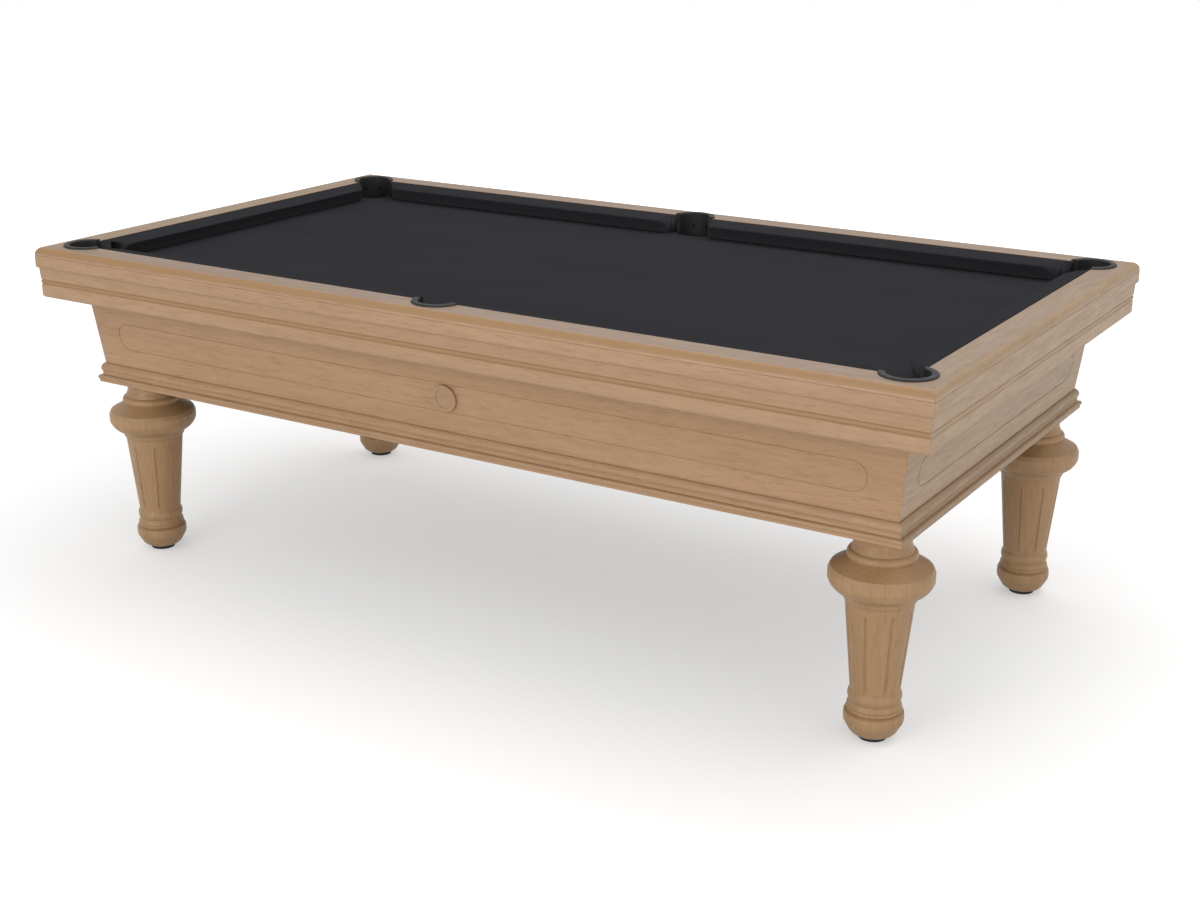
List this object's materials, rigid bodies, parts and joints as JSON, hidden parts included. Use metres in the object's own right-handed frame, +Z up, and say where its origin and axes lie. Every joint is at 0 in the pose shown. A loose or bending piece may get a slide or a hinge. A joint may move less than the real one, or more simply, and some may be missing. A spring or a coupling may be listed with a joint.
{
  "type": "billiard table",
  "caption": "Billiard table on four fluted turned legs: flared cabinet, moulded rails, cloth-covered cushions, slate bed, drop pockets and levelling screw feet.",
  "frame": {"origin": "on the floor under the middle of the bed", "axes": "+X along the long sides, -Y out of the front long side, +Z up"},
  "size_m": [2.244, 1.244, 0.782],
  "materials": {
    "oak": "satin",
    "frame_timber": "matte",
    "cloth": "matte",
    "cushion_rubber": "matte",
    "slate": "matte",
    "pocket_plastic": "satin",
    "brass": "satin",
    "steel": "satin",
    "foot_rubber": "matte"
  },
  "bodies": {
    "table": {"rail_front": "oak", "apron_front": "oak", "rail_right": "oak", "apron_right": "oak", "rail_back": "oak", "apron_back": "oak", "rail_left": "oak", "apron_left": "oak", "skirts_long": "oak", "skirts_end": "oak", "base_moulding": "oak", "medallion": "oak", "long_beams": "frame_timber", "cross_beams": "frame_timber", "leg_blocks": "frame_timber", "cushion_rubber_front_left": "cushion_rubber", "cushion_cloth_front_left": "cloth", "cushion_rubber_front_right": "cushion_rubber", "cushion_cloth_front_right": "cloth", "cushion_rubber_right": "cushion_rubber", "cushion_cloth_right": "cloth", "cushion_rubber_back_right": "cushion_rubber", "cushion_cloth_back_right": "cloth", "cushion_rubber_back_left": "cushion_rubber", "cushion_cloth_back_left": "cloth", "cushion_rubber_left": "cushion_rubber", "cushion_cloth_left": "cloth", "bed_cloth": "cloth", "slate_left": "slate", "slate_centre": "slate", "slate_right": "slate", "pocket_liner_front_left": "pocket_plastic", "pocket_boot_front_left": "pocket_plastic", "pocket_liner_front_middle": "pocket_plastic", "pocket_boot_front_middle": "pocket_plastic", "pocket_liner_front_right": "pocket_plastic", "pocket_boot_front_right": "pocket_plastic", "pocket_liner_back_right": "pocket_plastic", "pocket_boot_back_right": "pocket_plastic", "pocket_liner_back_middle": "pocket_plastic", "pocket_boot_back_middle": "pocket_plastic", "pocket_liner_back_left": "pocket_plastic", "pocket_boot_back_left": "pocket_plastic", "pocket_screws": "brass", "rail_bolts": "steel", "slate_screws": "steel", "leg_bolts": "steel", "foot_inserts": "brass", "leg_front_left": "oak", "leg_front_right": "oak", "leg_back_right": "oak", "leg_back_left": "oak"},
    "foot_pad_front_left": {"foot_pad_front_left": "foot_rubber"},
    "foot_stud_front_left": {"foot_stud_front_left": "steel"},
    "foot_pad_front_right": {"foot_pad_front_right": "foot_rubber"},
    "foot_stud_front_right": {"foot_stud_front_right": "steel"},
    "foot_pad_back_right": {"foot_pad_back_right": "foot_rubber"},
    "foot_stud_back_right": {"foot_stud_back_right": "steel"},
    "foot_pad_back_left": {"foot_pad_back_left": "foot_rubber"},
    "foot_stud_back_left": {"foot_stud_back_left": "steel"}
  },
  "joints": [
    {"name": "foot_slide_front_left", "type": "slide", "parent": "table", "child": "foot_pad_front_left", "axis": [0, 0, -1], "range_m": [0, 0.02]},
    {"name": "foot_turn_front_left", "type": "hinge", "parent": "foot_pad_front_left", "child": "foot_stud_front_left", "pos_m": [-0.9665, -0.4382, 0.004], "axis": [0, 0, 1], "range_deg": [0, 3600]},
    {"name": "foot_slide_front_right", "type": "slide", "parent": "table", "child": "foot_pad_front_right", "axis": [0, 0, -1], "range_m": [0, 0.02]},
    {"name": "foot_turn_front_right", "type": "hinge", "parent": "foot_pad_front_right", "child": "foot_stud_front_right", "pos_m": [0.9665, -0.4382, 0.004], "axis": [0, 0, 1], "range_deg": [0, 3600]},
    {"name": "foot_slide_back_right", "type": "slide", "parent": "table", "child": "foot_pad_back_right", "axis": [0, 0, -1], "range_m": [0, 0.02]},
    {"name": "foot_turn_back_right", "type": "hinge", "parent": "foot_pad_back_right", "child": "foot_stud_back_right", "pos_m": [0.9665, 0.4382, 0.004], "axis": [0, 0, 1], "range_deg": [0, 3600]},
    {"name": "foot_slide_back_left", "type": "slide", "parent": "table", "child": "foot_pad_back_left", "axis": [0, 0, -1], "range_m": [0, 0.02]},
    {"name": "foot_turn_back_left", "type": "hinge", "parent": "foot_pad_back_left", "child": "foot_stud_back_left", "pos_m": [-0.9665, 0.4382, 0.004], "axis": [0, 0, 1], "range_deg": [0, 3600]}
  ],
  "couplings": [
    {"joint": "foot_turn_front_left", "follows": "foot_slide_front_left", "rad_per_m": 3141.6},
    {"joint": "foot_turn_front_right", "follows": "foot_slide_front_right", "rad_per_m": 3141.6},
    {"joint": "foot_turn_back_right", "follows": "foot_slide_back_right", "rad_per_m": 3141.6},
    {"joint": "foot_turn_back_left", "follows": "foot_slide_back_left", "rad_per_m": 3141.6}
  ]
}
